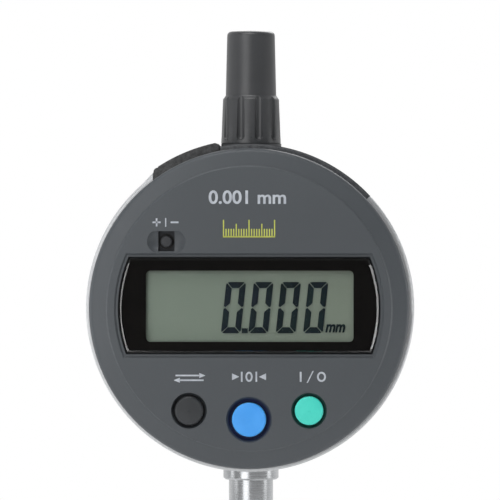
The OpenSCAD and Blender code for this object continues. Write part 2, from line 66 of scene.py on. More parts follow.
# ---- Camera, floor and lights ----
# A long lens stands almost square to the display face, a little to its right. A large soft lamp
# hangs at the front left and one overhead, two small ones beside the case light its edges, and
# one stands behind. The room is white, and the round floor is pale paper.

case_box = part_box("front_case")
case_z = (case_box[0].z + case_box[1].z) / 2

view_turn = math.radians(1.3)
view_rise = math.radians(0.7)
view_distance = 0.906
aim = Vector((-0.00018, 0, case_z + 0.0103))
towards_camera = Vector((math.sin(view_turn) * math.cos(view_rise),
                         -math.cos(view_turn) * math.cos(view_rise), math.sin(view_rise)))
camera = bpy.data.objects.new("camera", bpy.data.cameras.new("camera"))
camera.data.lens = 360
camera.data.sensor_width = 36
camera.data.clip_end = 50
camera.location = aim + towards_camera * view_distance
camera.rotation_euler = towards_camera.to_track_quat("Z", "Y").to_euler()
bpy.context.scene.collection.objects.link(camera)
bpy.context.scene.camera = camera
bpy.context.scene.view_settings.view_transform = "Standard"


def softbox(name, turn, rise, distance, wide, high, watts):
    """A lamp at a turn from the front (positive to the right) and a rise, facing the case."""
    turn, rise = math.radians(turn), math.radians(rise)
    away = Vector((math.sin(turn) * math.cos(rise), -math.cos(turn) * math.cos(rise), math.sin(rise)))
    lamp = bpy.data.objects.new(name, bpy.data.lights.new(name, "AREA"))
    lamp.data.shape = "RECTANGLE"
    lamp.data.size = wide
    lamp.data.size_y = high
    lamp.data.energy = watts
    lamp.location = Vector((0, 0, case_z)) + away * distance
    lamp.rotation_euler = away.to_track_quat("Z", "Y").to_euler()
    lamp.visible_camera = False
    bpy.context.scene.collection.objects.link(lamp)


softbox("key_lamp", turn=-25, rise=7, distance=0.3, wide=0.16, high=0.28, watts=0.35)
softbox("high_lamp", turn=-15, rise=60, distance=0.3, wide=0.2, high=0.15, watts=0.4)
softbox("left_edge_lamp", turn=-81, rise=0, distance=0.101, wide=0.03, high=0.07, watts=0.014)
softbox("right_edge_lamp", turn=81, rise=0, distance=0.101, wide=0.03, high=0.07, watts=0.018)
softbox("back_lamp", turn=165, rise=40, distance=0.8, wide=0.5, high=0.5, watts=2.4)


def add(tree, kind, values=None, **settings):
    """A new shader node, with its settings, its input values and its links."""
    node = tree.nodes.new("ShaderNode" + kind)
    for name, value in settings.items():
        setattr(node, name, value)
    for socket, value in (values or {}).items():
        if isinstance(value, bpy.types.NodeSocket):
            tree.links.new(value, node.inputs[socket])
        else:
            node.inputs[socket].default_value = value
    return node


def between(tree, value, start, end, low=0.0, high=1.0):
    """A value that goes smoothly from low to high as another goes from start to end."""
    return add(tree, "MapRange", {"Value": value, "From Min": start, "From Max": end,
                                  "To Min": low, "To Max": high},
               interpolation_type="SMOOTHSTEP").outputs[0]


def figure(tree, kind, first, second=0.0):
    """One step of arithmetic."""
    return add(tree, "Math", {0: first, 1: second}, operation=kind).outputs[0]


def either(tree, mask, first, second):
    """A number that is first where the mask is 0, and second where it is 1."""
    return add(tree, "Mix", {0: mask, 2: first, 3: second}, data_type="FLOAT").outputs[0]


# The room is dim on the camera's side and bright behind the part; what gloss mirrors of it is
# dimmer again towards the ceiling
world = bpy.data.worlds.new("white_studio")
world.use_nodes = True
bpy.context.scene.world = world
sky = world.node_tree
room_rays = add(sky, "LightPath").outputs
facing = add(sky, "SeparateXYZ", {0: add(sky, "TexCoord").outputs["Generated"]}).outputs
soft_light = between(sky, facing["Y"], -0.5, 0.3, low=0.06, high=0.9)
ceiling = between(sky, facing["Z"], 0.2, 0.9, low=1.0, high=0.5)
mirrored = figure(sky, "MULTIPLY", between(sky, facing["Y"], -0.25, 0.6, low=0.03, high=0.75), ceiling)
through_gloss = figure(sky, "MAXIMUM", room_rays["Is Glossy Ray"], room_rays["Is Transmission Ray"])
strength = either(sky, through_gloss, soft_light, mirrored)
backdrop = sky.nodes["Background"].inputs
backdrop["Color"].default_value = (1, 1, 1, 1)
sky.links.new(either(sky, room_rays["Is Camera Ray"], strength, 1.0), backdrop["Strength"])

# The paper shows its shadows near the part, and runs out to plain white further off
floor_r, shadow_r, white_r = 0.6, 0.05, 0.3
floor_form = bmesh.new()
bmesh.ops.create_circle(floor_form, cap_ends=True, radius=floor_r, segments=128,
                        matrix=Matrix.Translation((0, 0, cad_box[0][2])))
floor = bpy.data.objects.new("floor", bpy.data.meshes.new("floor"))
floor_form.to_mesh(floor.data)
floor_form.free()
bpy.context.scene.collection.objects.link(floor)
paper = bpy.data.materials.new("floor_paper")
paper.use_nodes = True
paper_tree = paper.node_tree
paper_shader = paper_tree.nodes["Principled BSDF"]
on_floor = add(paper_tree, "TexCoord").outputs["Object"]
fibre = add(paper_tree, "TexNoise", {"Vector": on_floor, "Scale": 900.0, "Detail": 4.0}).outputs["Fac"]
tone = add(paper_tree, "ValToRGB", {"Fac": fibre})
tone.color_ramp.elements[0].color = (0.80, 0.80, 0.80, 1)
tone.color_ramp.elements[1].color = (0.88, 0.88, 0.88, 1)
paper_tree.links.new(tone.outputs[0], paper_shader.inputs["Base Color"])
paper_shader.inputs["Roughness"].default_value = 0.9
paper_shader.inputs["Specular IOR Level"].default_value = 0.1
out_from_part = add(paper_tree, "VectorMath", {0: on_floor}, operation="LENGTH").outputs["Value"]
floor_rays = add(paper_tree, "LightPath").outputs
seen = figure(paper_tree, "MAXIMUM", floor_rays["Is Camera Ray"],
              figure(paper_tree, "MAXIMUM", floor_rays["Is Glossy Ray"], floor_rays["Is Transmission Ray"]))
open_floor = figure(paper_tree, "MULTIPLY", between(paper_tree, out_from_part, shadow_r, white_r), seen)
white = add(paper_tree, "Emission", {"Color": (1, 1, 1, 1), "Strength": 1.0})
blend = add(paper_tree, "MixShader", {0: open_floor, 1: paper_shader.outputs[0], 2: white.outputs[0]})
paper_tree.links.new(blend.outputs[0], paper_tree.nodes["Material Output"].inputs["Surface"])
floor.data.materials.append(paper)


# ---- Main frame ----
# The die-cast ring that everything bolts to: zinc alloy, sprayed satin silver. It carries the
# stem in a boss at its foot, and ledges and posts for the boards, the guide and the screws.


def shade(red, green, blue):
    """A colour as it looks, 0 to 255, as the shader's linear colour."""
    return tuple(((c / 255 + 0.055) / 1.055) ** 2.4 for c in (red, green, blue)) + (1.0,)


def new_group(name, takes, gives):
    """An empty shader node group with its sockets, each a name and a kind."""
    group = bpy.data.node_groups.new(name, "ShaderNodeTree")
    for label, kind in takes:
        group.interface.new_socket(name=label, in_out="INPUT", socket_type="NodeSocket" + kind)
    for label, kind in gives:
        group.interface.new_socket(name=label, in_out="OUTPUT", socket_type="NodeSocket" + kind)
    return group, group.nodes.new("NodeGroupInput").outputs, group.nodes.new("NodeGroupOutput").inputs


# Fine skin of a moulding, a casting or a coat of paint, and the slow change of tone across it
skin_group, taken, given = new_group(
    "surface_skin", [("Position", "Vector"), ("Grain", "Float"), ("Patch", "Float")],
    [("Height", "Float"), ("Patches", "Float")])
grains = add(skin_group, "TexNoise", {"Vector": taken["Position"], "Scale": taken["Grain"],
                                      "Detail": 4.0, "Roughness": 0.6}).outputs["Fac"]
clouds = add(skin_group, "TexNoise", {"Vector": taken["Position"], "Scale": taken["Patch"],
                                      "Detail": 3.0}).outputs["Fac"]
skin_group.links.new(grains, given["Height"])
mixed_tone = figure(skin_group, "ADD", figure(skin_group, "MULTIPLY", grains, 0.3), clouds)
skin_group.links.new(between(skin_group, mixed_tone, 0.42, 0.88), given["Patches"])

# Faint finger marks and wipes that change the gloss
handling_group, taken, given = new_group(
    "handling_marks", [("Position", "Vector"), ("Size", "Float")], [("Touched", "Float")])
wipe = add(handling_group, "TexNoise", {"Vector": taken["Position"], "Scale": taken["Size"], "Detail": 5.0,
                                        "Roughness": 0.65, "Distortion": 1.2}).outputs["Fac"]
handling_group.links.new(between(handling_group, wipe, 0.3, 0.72), given["Touched"])

# Edges made paler or smoother in specks broken up by noise: handling wear, and on some finishes a painted
# edge highlight
wear_and_highlight_group, taken, given = new_group(
    "edge_wear_and_highlight", [("Position", "Vector"), ("Edge", "Float"), ("Speck", "Float")], [("Worn And Highlit", "Float")])
chips = add(wear_and_highlight_group, "TexNoise", {"Vector": taken["Position"], "Scale": taken["Speck"],
                                     "Detail": 5.0, "Roughness": 0.7}).outputs["Fac"]
wear_and_highlight_group.links.new(between(wear_and_highlight_group, figure(wear_and_highlight_group, "ADD", taken["Edge"], chips), 1.25, 1.75),
                     given["Worn And Highlit"])

# Fine lines left by a cutting tool or a grinding wheel, one after another along a length
marks_group, taken, given = new_group(
    "tool_marks", [("Along", "Float"), ("Per Metre", "Float")], [("Lines", "Float")])
line_number = figure(marks_group, "MULTIPLY", taken["Along"], taken["Per Metre"])
lines = add(marks_group, "TexNoise", {"W": line_number, "Scale": 1.0, "Detail": 3.0, "Roughness": 0.7},
            noise_dimensions="1D").outputs["Fac"]
marks_group.links.new(lines, given["Lines"])

# Distances from the axis of the round case and from the spindle's axis, and the three coordinates;
# the case's axis runs front to back, the spindle's straight up
distance_group, taken, given = new_group(
    "distances", [("Position", "Vector")],
    [("From Case Axis", "Float"), ("From Spindle", "Float"), ("X", "Float"), ("Y", "Float"), ("Z", "Float")])
along = add(distance_group, "SeparateXYZ", {0: taken["Position"]}).outputs
rise_in_case = figure(distance_group, "SUBTRACT", along["Z"], case_z)
for label, off_axis in (("From Case Axis", rise_in_case), ("From Spindle", along["Y"])):
    spread = add(distance_group, "CombineXYZ", {"X": along["X"], "Y": off_axis}).outputs[0]
    length = add(distance_group, "VectorMath", {0: spread}, operation="LENGTH").outputs["Value"]
    distance_group.links.new(length, given[label])
for letter in "XYZ":
    distance_group.links.new(along[letter], given[letter])


def tint(tree, mask, first, second):
    """A colour that is first where the mask is 0, and second where it is 1."""
    return add(tree, "Mix", {0: mask, 6: first, 7: second}, data_type="RGBA").outputs[2]


class Finish:
    """A finish in the making: its material, its nodes and what has been laid so far."""

    def __init__(self, name, dark, light, rough, metallic=0.0, grain=3500.0, depth=3e-6, patch=70.0,
                 touch=45.0):
        self.material = bpy.data.materials.new(name)
        self.material.use_nodes = True
        self.tree = self.material.node_tree
        self.shader = self.tree.nodes["Principled BSDF"]
        self.shader.inputs["Metallic"].default_value = metallic
        self.position = add(self.tree, "TexCoord").outputs["Object"]
        self.at = self.group(distance_group, Position=self.position)
        skin = self.group(skin_group, Position=self.position, Grain=grain, Patch=patch)
        touched = self.group(handling_group, Position=self.position, Size=touch)["Touched"]
        self.colour = tint(self.tree, skin["Patches"], shade(*dark), shade(*light))
        self.rough = either(self.tree, touched, rough[0], rough[1])
        self.heights = [(skin["Height"], depth)]

    def group(self, group, **values):
        """Lays a shared effect in this finish, with its own values, and gives what it puts out."""
        node = add(self.tree, "Group", node_tree=group)
        for label, value in values.items():
            socket = node.inputs[label.replace("_", " ")]
            if isinstance(value, bpy.types.NodeSocket):
                self.tree.links.new(value, socket)
            else:
                socket.default_value = value
        return node.outputs

    def wear_and_highlight(self, edge, colour, rough, speck=1500.0):
        """Lets the edge mask show another colour and roughness, in specks: wear from handling, and on some
        finishes a painted highlight.
        """
        mask = self.group(wear_and_highlight_group, Position=self.position, Edge=edge, Speck=speck)["Worn And Highlit"]
        self.colour = tint(self.tree, mask, self.colour, shade(*colour))
        self.rough = either(self.tree, mask, self.rough, rough)

    def marks(self, along, per_metre, depth, tone=0.0):
        """Cuts tool lines across the given distance, and lets them change the gloss by tone."""
        lines = self.group(marks_group, Along=along, Per_Metre=per_metre)["Lines"]
        self.heights.append((lines, depth))
        if tone:
            change = between(self.tree, lines, 0.3, 0.7, -tone, tone)
            self.rough = figure(self.tree, "ADD", self.rough, change)

    def done(self, **constants):
        """Joins everything to the shader; the first height goes into the first bump, and so on."""
        self.tree.links.new(self.colour, self.shader.inputs["Base Color"])
        self.tree.links.new(self.rough, self.shader.inputs["Roughness"])
        normal = None
        for height, depth in self.heights:
            bump = add(self.tree, "Bump", {"Height": height, "Distance": depth, "Strength": 1.0})
            if normal:
                self.tree.links.new(normal, bump.inputs["Normal"])
            normal = bump.outputs["Normal"]
        self.tree.links.new(normal, self.shader.inputs["Normal"])
        for label, value in constants.items():
            self.shader.inputs[label.replace("_", " ")].default_value = value
        return self.material


def dress(material, *names):
    """Gives CAD nodes their finish."""
    for name in names:
        for slot in nodes[name].material_slots:
            slot.material = material


silver = Finish("satin_silver_paint", dark=(194, 196, 198), light=(206, 208, 210), rough=(0.4, 0.5),
                metallic=0.2, grain=5200.0, depth=4e-6, patch=60.0)
front_rim = between(silver.tree, silver.at["Y"], -0.0076, -0.0082)
rear_rim = between(silver.tree, silver.at["Y"], 0.0054, 0.006)
silver.wear_and_highlight(figure(silver.tree, "MAXIMUM", front_rim, rear_rim), colour=(205, 206, 208), rough=0.3)
dress(silver.done(), "main_frame")


# ---- Stem, its bushes, nut, wiper and stop cushion ----
# The 8 mm stem is turned and ground from stainless bar and held by a nut inside the case. Two
# bronze bushes pressed into it guide the spindle, and a rubber wiper keeps dirt out below.

ground = Finish("ground_stainless", dark=(176, 178, 180), light=(196, 198, 200), rough=(0.2, 0.3),
                metallic=1.0, grain=2500.0, depth=1e-6, patch=110.0)
ground.marks(ground.at["Z"], 9000.0, depth=1.2e-6, tone=0.05)
lower_edge = between(ground.tree, ground.at["Z"], -0.0079, -0.0085)
ground.wear_and_highlight(lower_edge, colour=(226, 227, 228), rough=0.2)
dress(ground.done(), "stem")

plated = Finish("zinc_plated_screw", dark=(160, 161, 160), light=(190, 190, 186), rough=(0.26, 0.42),
                metallic=1.0, grain=6000.0, depth=2e-6, patch=400.0, touch=300.0)
plated.marks(plated.at["X"], 14000.0, depth=1e-6, tone=0.04)
dress(plated.done(), "stem_nut", "case_screws", "board_screws", "rail_screws", "read_head_screws",
      "carrier_screw", "rear_cover_screws")

bronze = Finish("bearing_bronze", dark=(150, 112, 62), light=(184, 143, 88), rough=(0.28, 0.4),
                metallic=1.0, grain=6000.0, depth=3e-6, patch=300.0)
bronze.marks(bronze.at["Z"], 7000.0, depth=2e-6, tone=0.05)
dress(bronze.done(), "stem_bushes")

nitrile = Finish("black_rubber", dark=(22, 22, 23), light=(36, 36, 37), rough=(0.6, 0.8), grain=5000.0,
                 depth=8e-6, patch=200.0)
dress(nitrile.done(), "stem_wiper", "stop_cushion")


# ---- Spindle, contact point and ball ----
# The spindle is hardened stainless rod, ground to size so that it slides in the bushes. A small
# turned point screws into its foot and holds a polished carbide ball.

spindle_steel = Finish("hardened_spindle", dark=(186, 188, 190), light=(206, 208, 209), rough=(0.14, 0.24),
                       metallic=1.0, grain=3000.0, depth=8e-7, patch=90.0)
spindle_steel.marks(spindle_steel.at["Z"], 15000.0, depth=7e-7, tone=0.04)
dress(spindle_steel.done(), "spindle", "guide_pin")

turned = Finish("turned_point", dark=(150, 152, 154), light=(176, 178, 180), rough=(0.22, 0.36),
                metallic=1.0, grain=4000.0, depth=2e-6, patch=300.0)
turned.marks(turned.at["Z"], 6000.0, depth=2.5e-6, tone=0.06)
dress(turned.done(), "contact_point")

carbide = Finish("carbide_ball", dark=(84, 88, 92), light=(104, 108, 112), rough=(0.05, 0.12), metallic=1.0,
                 grain=9000.0, depth=3e-7, patch=500.0)
dress(carbide.done(), "contact_ball")


# ---- Scale carrier, guide rail and return spring ----
# A milled aluminium block clamps on the spindle and carries the glass scale. Its pin runs in a
# slotted rail so that the spindle can't turn. A drawn wire spring pushes it down, and closes up
# as the spindle rises.

milled = Finish("milled_aluminium", dark=(158, 160, 163), light=(180, 182, 184), rough=(0.28, 0.42),
                metallic=1.0, grain=3000.0, depth=2e-6, patch=150.0)
milled.marks(figure(milled.tree, "ADD", milled.at["Z"], milled.at["Y"]), 4200.0, depth=2.5e-6, tone=0.06)
dress(milled.done(), "scale_carrier", "guide_rail")

drawn = Finish("drawn_wire", dark=(128, 130, 132), light=(160, 162, 164), rough=(0.25, 0.35), metallic=1.0,
               grain=8000.0, depth=1.5e-6, patch=600.0)


def yielding_piece(name, node, material, joint, chosen=lambda face: True):
    """A soft CAD solid, or some of its faces, as a piece; with a joint, it gets a mesh of its own."""
    form = bmesh.new()
    form.from_mesh(nodes[node].data)
    bmesh.ops.remove_doubles(form, verts=form.verts, dist=1e-7)
    bmesh.ops.delete(form, geom=[face for face in form.faces if not chosen(face)], context="FACES")
    piece = bpy.data.objects.new(name, bpy.data.meshes.new(name))
    form.to_mesh(piece.data)
    form.free()
    piece.data.materials.append(material)
    bpy.context.scene.collection.objects.link(piece)
    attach(piece, "case")
    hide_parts(node)
    if joint:
        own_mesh(piece)
    return piece


coil = yielding_piece("coil_spring", "return_spring", drawn.done(), "spindle_slide")
coil.data.shade_smooth()

scale = Finish("chromed_glass_scale", dark=(120, 138, 148), light=(136, 153, 162), rough=(0.06, 0.12),
               grain=1500.0, depth=3e-7, patch=120.0)
chrome_lines = add(scale.tree, "TexWave", {"Vector": scale.position, "Scale": 1600.0},
                   bands_direction="Z", wave_profile="SAW").outputs["Fac"]
track_half_wide = 0.0031
track = between(scale.tree, figure(scale.tree, "ABSOLUTE", scale.at["X"]), track_half_wide + 0.0002,
                track_half_wide)
graduated = figure(scale.tree, "MULTIPLY", between(scale.tree, chrome_lines, 0.48, 0.52), track)
scale.colour = tint(scale.tree, graduated, scale.colour, shade(52, 56, 60))
dress(scale.done(Coat_Weight=0.6, Coat_Roughness=0.05), "scale_glass")


# ---- Read head, main board and their parts ----
# Two glass-fibre circuit boards with green solder mask over etched copper: the small one reads
# the scale, the round one drives the display. A folded polyimide ribbon joins them.


def board_finish(name, pitch):
    """Green solder mask that shows the tracks under it, and gold pads on a grid."""
    board = Finish(name, dark=(22, 74, 48), light=(28, 88, 58), rough=(0.28, 0.4), grain=5200.0, depth=2e-6,
                   patch=160.0)
    upright = add(board.tree, "Mapping", {"Vector": board.position, "Rotation": (math.radians(90), 0, 0)})
    track_wide = 0.00016
    tracks = add(board.tree, "TexBrick", {
        "Vector": upright.outputs[0], "Scale": 1.0, "Mortar Size": track_wide, "Mortar Smooth": 0.1,
        "Brick Width": pitch * 3.1, "Row Height": pitch}, offset=0.37).outputs["Fac"]
    board.colour = tint(board.tree, tracks, board.colour, shade(58, 128, 86))
    off_pad = add(board.tree, "TexVoronoi", {"Vector": board.position, "Scale": 0.42 / pitch,
                                             "Randomness": 0.25}, feature="F1").outputs["Distance"]
    pad = between(board.tree, off_pad, 0.17, 0.13)
    board.colour = tint(board.tree, pad, board.colour, shade(206, 170, 92))
    board.heights.append((figure(board.tree, "MAXIMUM", tracks, pad), 2e-5))
    return board.done(Coat_Weight=0.25, Coat_Roughness=0.2)


dress(board_finish("main_board_mask", 0.0019), "main_board")
dress(board_finish("read_head_mask", 0.0012), "read_head")

epoxy = Finish("chip_epoxy", dark=(24, 24, 26), light=(36, 36, 38), rough=(0.5, 0.62), grain=9000.0,
               depth=4e-6, patch=500.0)
dress(epoxy.done(), "board_chips")

polyimide = Finish("polyimide_ribbon", dark=(172, 98, 30), light=(196, 122, 44), rough=(0.22, 0.32),
                   grain=3000.0, depth=2e-6, patch=200.0)
copper = add(polyimide.tree, "TexWave", {"Vector": polyimide.position, "Scale": 400.0},
             bands_direction="X").outputs["Fac"]
polyimide.colour = tint(polyimide.tree, between(polyimide.tree, copper, 0.55, 0.65), polyimide.colour,
                        shade(142, 66, 20))
polyimide.heights.append((copper, 1e-5))
dress(polyimide.done(Coat_Weight=0.3), "ribbon_cable")


# ---- Display ----
# A reflective liquid crystal cell in a moulded holder. Striped silicone strips press it against
# the board, and the lit segments stand just in front of its grey-green reflector.

reflector = Finish("display_reflector", dark=(123, 135, 123), light=(130, 142, 130), rough=(0.42, 0.5),
                   grain=2600.0, depth=1e-6, patch=24.0)
# Painted shade: the reflector's colour turns a little duller and darker towards the right
shade_to_right = between(reflector.tree, reflector.at["X"], -0.012, 0.02)
reflector.colour = tint(reflector.tree, shade_to_right, reflector.colour, shade(127, 137, 124))
dress(reflector.done(), "display_glass")

moulded_black = Finish("moulded_black", dark=(20, 20, 22), light=(30, 30, 33), rough=(0.45, 0.6),
                       grain=3800.0, depth=5e-6, patch=120.0)
dress(moulded_black.done(), "display_holder", "window_tape", "port_socket")

zebra = Finish("striped_silicone", dark=(196, 176, 180), light=(210, 190, 194), rough=(0.5, 0.6),
               grain=3000.0, depth=3e-6, patch=200.0)
stripes = add(zebra.tree, "TexWave", {"Vector": zebra.position, "Scale": 1500.0},
              bands_direction="X").outputs["Fac"]
zebra.colour = tint(zebra.tree, between(zebra.tree, stripes, 0.4, 0.6), zebra.colour, shade(30, 30, 32))
dress(zebra.done(), "zebra_strips")

segment_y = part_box("display_glass")[0].y - 0.00018
digit_high, digit_wide, digit_pitch = 0.00915, 0.00352, 0.00489
digit_lean = math.tan(math.radians(6.2))
segment_t, segment_gap, corner_cut = 0.00108, 0.00007, 0.0004
first_x, foot_z = -0.00507, -0.00438
point_wide, point_high, point_gap = 0.00108, 0.00088, 0.00074


def face_front(form, y, name, material):
    """Turns a flat form drawn in X and Y to stand in X and Z at depth y, and makes it a piece."""
    for face in form.faces:
        face.normal_update()
    bmesh.ops.reverse_faces(form, faces=[face for face in form.faces if face.normal.z < 0])
    bmesh.ops.transform(form, verts=form.verts,
                        matrix=Matrix.Translation((0, y, case_z)) @ Matrix.Rotation(math.pi / 2, 4, "X"))
    piece = bpy.data.objects.new(name, bpy.data.meshes.new(name))
    form.to_mesh(piece.data)
    form.free()
    piece.data.materials.append(material)
    bpy.context.scene.collection.objects.link(piece)
    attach(piece, "case")


def digit_zero(form, x, z):
    """The lit segments of a leaning nought, foot at x, z: a bar and a post, mirrored into each quarter."""
    middle, corner, gap = digit_high / 2, corner_cut / 2, segment_gap
    bar = [(corner + gap, -corner + gap), (corner_cut + gap, 0), (digit_wide / 2, 0),
           (digit_wide / 2, -segment_t), (segment_t + gap, -segment_t)]
    post = [(0, -corner_cut), (corner - gap / 2, -corner - gap / 2), (segment_t, -segment_t - gap * 1.5),
            (segment_t, -middle + segment_t * 0.72), (segment_t * 0.3, -middle + gap),
            (0, -middle + segment_t * 0.22)]
    for left in (True, False):
        for top in (True, False):
            for segment in (bar, post):
                points = []
                for in_from_side, below_top in segment:
                    flat_x = in_from_side if left else digit_wide - in_from_side
                    flat_z = digit_high + below_top if top else -below_top
                    points.append(form.verts.new((x + flat_x + flat_z * digit_lean, z + flat_z, 0)))
                form.faces.new(points)


liquid = Finish("lit_segment", dark=(14, 26, 38), light=(16, 34, 36), rough=(0.4, 0.5), grain=2000.0,
                depth=1e-6, patch=260.0)
lit_segment = liquid.done(Specular_IOR_Level=0.12)
digits = bmesh.new()
for place in range(4):
    digit_zero(digits, first_x + place * digit_pitch, foot_z)
point_at = Matrix.Translation((first_x + digit_wide + point_gap, foot_z + point_high / 2, 0))
bmesh.ops.create_grid(digits, x_segments=1, y_segments=1, size=0.5,
                      matrix=point_at @ Matrix.Diagonal((point_wide, point_high, 1, 1)))
bmesh.ops.remove_doubles(digits, verts=digits.verts, dist=1e-7)
face_front(digits, segment_y, "display_digits", lit_segment)


def lettering(words, width, height, x, z, weight=0.0, slant=0.0):
    """Characters drawn flat as a mesh, fitted to a width and a height about the point x, z."""
    curve = bpy.data.curves.new("lettering", "FONT")
    curve.body = words
    curve.offset = weight
    curve.shear = slant
    curve.resolution_u = 6
    carrier = bpy.data.objects.new("lettering", curve)
    bpy.context.scene.collection.objects.link(carrier)
    bpy.context.view_layer.update()
    mesh = bpy.data.meshes.new_from_object(carrier.evaluated_get(bpy.context.evaluated_depsgraph_get()))
    bpy.data.objects.remove(carrier)
    form = bmesh.new()
    form.from_mesh(mesh)
    bpy.data.meshes.remove(mesh)
    low = [min(v.co[i] for v in form.verts) for i in (0, 1)]
    high = [max(v.co[i] for v in form.verts) for i in (0, 1)]
    centre = Matrix.Translation((-(low[0] + high[0]) / 2, -(low[1] + high[1]) / 2, 0))
    fit = Matrix.Diagonal((width / (high[0] - low[0]), height / (high[1] - low[1]), 1, 1))
    bmesh.ops.transform(form, verts=form.verts, matrix=Matrix.Translation((x, z, 0)) @ fit @ centre)
    bmesh.ops.remove_doubles(form, verts=form.verts, dist=1e-7)
    return form


unit_form = lettering("mm", width=0.0036, height=0.0015, x=0.01535, z=-0.0035, weight=0.035, slant=0.25)
face_front(unit_form, segment_y, "display_unit", lit_segment)


# ---- Keys, rubber mat and dome ----
# Hard moulded caps with a satin skin, in black, blue and green, that float on a grey silicone
# mat; the small sign key is soft black rubber over its own dome. Each dome of the mat sinks with
# its key, so it is a piece of its own.


def from_middle(finish, low, high):
    """How far a point lies from the front-to-back axis of the piece with this box."""
    middle = ((low.x + high.x) / 2, 0, (low.z + high.z) / 2)
    away = add(finish.tree, "VectorMath", {0: finish.position, 1: middle}, operation="SUBTRACT").outputs[0]
    flat = add(finish.tree, "VectorMath", {0: away, 1: (1, 0, 1)}, operation="MULTIPLY").outputs[0]
    return add(finish.tree, "VectorMath", {0: flat}, operation="LENGTH").outputs["Value"]


def dress_key(key, name, dark, light, rough, skirt, flange=0.0008):
    """A coloured cap: its rim gets a smoother gloss and a paler painted highlight; its skirt and flange get
    painted shade.
    """
    made = Finish(name, dark, light, rough, grain=3600.0, depth=3e-6, patch=300.0, touch=260.0)
    low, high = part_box(key)
    cap_r = (high.x - low.x) / 2 - flange
    # Painted highlight: a paler ring at the cap's rim, with a smoother gloss from handling
    rubbed_rim_highlight = between(made.tree, from_middle(made, low, high), cap_r - 0.00035, cap_r)
    made.wear_and_highlight(rubbed_rim_highlight, colour=[min(255, c + 26) for c in light], rough=rough[0] - 0.08, speck=2600.0)
    # Painted shade: the skirt and flange, deeper in the gap, take the dark skirt colour
    gap_shade = between(made.tree, made.at["Y"], low.y + 0.0007, low.y + 0.0015)
    made.colour = tint(made.tree, gap_shade, made.colour, shade(*skirt))
    dress(made.done(), key)


# Each skirt colour is painted shade: the cap's own colour as it looks down in the dark gap
dress_key("key_unit", "black_key", dark=(40, 43, 46), light=(46, 49, 52), rough=(0.42, 0.52),
          skirt=(14, 15, 17))
dress_key("key_zero", "blue_key", dark=(64, 160, 246), light=(74, 168, 252), rough=(0.38, 0.48),
          skirt=(16, 34, 76))
dress_key("key_power", "green_key", dark=(67, 217, 199), light=(77, 227, 208), rough=(0.38, 0.48),
          skirt=(4, 60, 52))
dress_key("key_sign", "sign_key_rubber", dark=(42, 44, 47), light=(54, 56, 59), rough=(0.55, 0.66),
          skirt=(12, 13, 14), flange=0.0009)

silicone = Finish("grey_silicone", dark=(96, 98, 100), light=(110, 112, 114), rough=(0.6, 0.72),
                  grain=4200.0, depth=6e-6, patch=240.0)
soft_grey = silicone.done()
dome_r = 0.0026
mat_keys = {"key_unit": "unit_press", "key_zero": "zero_press", "key_power": "power_press"}
key_middles = {key: [(low + high) / 2 for low, high in zip(*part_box(key))] for key in mat_keys}


def from_key(face, key):
    """How far a face of the mat lies from a key's axis."""
    centre = face.calc_center_median()
    return math.hypot(centre.x - key_middles[key][0], centre.z - key_middles[key][2])


for key, joint in mat_keys.items():
    yielding_piece(f"{key}_dome", "key_mat", soft_grey, joint,
                   lambda face, key=key: from_key(face, key) < dome_r)
yielding_piece("key_mat_web", "key_mat", soft_grey, None,
               lambda face: min(from_key(face, key) for key in mat_keys) >= dome_r)
yielding_piece("sign_key_dome", "sign_dome", soft_grey, "sign_press")


# ---- Front case ----
# One moulding in dark grey engineering plastic with a fine satin skin: a flat raised disc inside
# a sloping band, wells for the keys, a finger scoop and the window's bevelled recess. The disc's
# edge is painted paler as wear and highlight, the wells and recesses carry painted shade, and
# beside the blue and green keys a painted reflection of the key's colour stands for bounced light.

front = Finish("case_grey", dark=(77, 81, 85), light=(82, 86, 90), rough=(0.42, 0.5), grain=3200.0,
               depth=5e-6, patch=26.0, touch=38.0)
face_y = case_box[0].y
disc_r, rim_highlight_wide = 0.0254, 0.00022
# The raised disc's edge is painted paler in specks: rubbed wear together with a painted highlight along the
# step
off_rim = figure(front.tree, "ABSOLUTE", figure(front.tree, "SUBTRACT", front.at["From Case Axis"], disc_r))
front.wear_and_highlight(between(front.tree, off_rim, rim_highlight_wide, 0.0), colour=(92, 96, 100), rough=0.36, speck=1800.0)
# Painted shade: deep recesses inside the disc and the mouths of the key wells are darkened towards (36, 39,
# 44)
in_disc = between(front.tree, front.at["From Case Axis"], 0.0245, 0.024)
recess_shade = between(front.tree, front.at["Y"], face_y + 0.0011, face_y + 0.0016)
among_keys = between(front.tree, front.at["Z"], case_z - 0.0115, case_z - 0.0125)
well_mouth_shade = between(front.tree, front.at["Y"], face_y + 0.0001, face_y + 0.0008, low=0.0, high=0.6)
hollow_shade = figure(front.tree, "MAXIMUM", recess_shade, figure(front.tree, "MULTIPLY", among_keys, well_mouth_shade))
shaded = figure(front.tree, "MULTIPLY", in_disc, hollow_shade)
front.colour = tint(front.tree, shaded, front.colour, shade(36, 39, 44))
# Painted reflection: the shaded walls beside the blue and green keys take the key's colour, standing for
# light bounced off the cap
bounce_near, bounce_far = 0.0036, 0.0046
for key, bounced_colour in (("key_zero", (14, 28, 84)), ("key_power", (6, 104, 92))):
    key_front = (key_middles[key][0], face_y, key_middles[key][2])
    off_key = add(front.tree, "VectorMath", {0: front.position, 1: key_front}, operation="DISTANCE")
    beside = between(front.tree, off_key.outputs["Value"], bounce_far, bounce_near)
    lit_by_key = figure(front.tree, "MULTIPLY", shaded, beside)
    front.colour = tint(front.tree, lit_by_key, front.colour, shade(*bounced_colour))
dress(front.done(Specular_IOR_Level=0.35), "front_case")


# ---- Window ----
# Clear acrylic with a bevelled front edge and a hard coat, stuck into the recess. A black border
# is printed on its back and round its side wall, and leaves a rounded opening over the display.

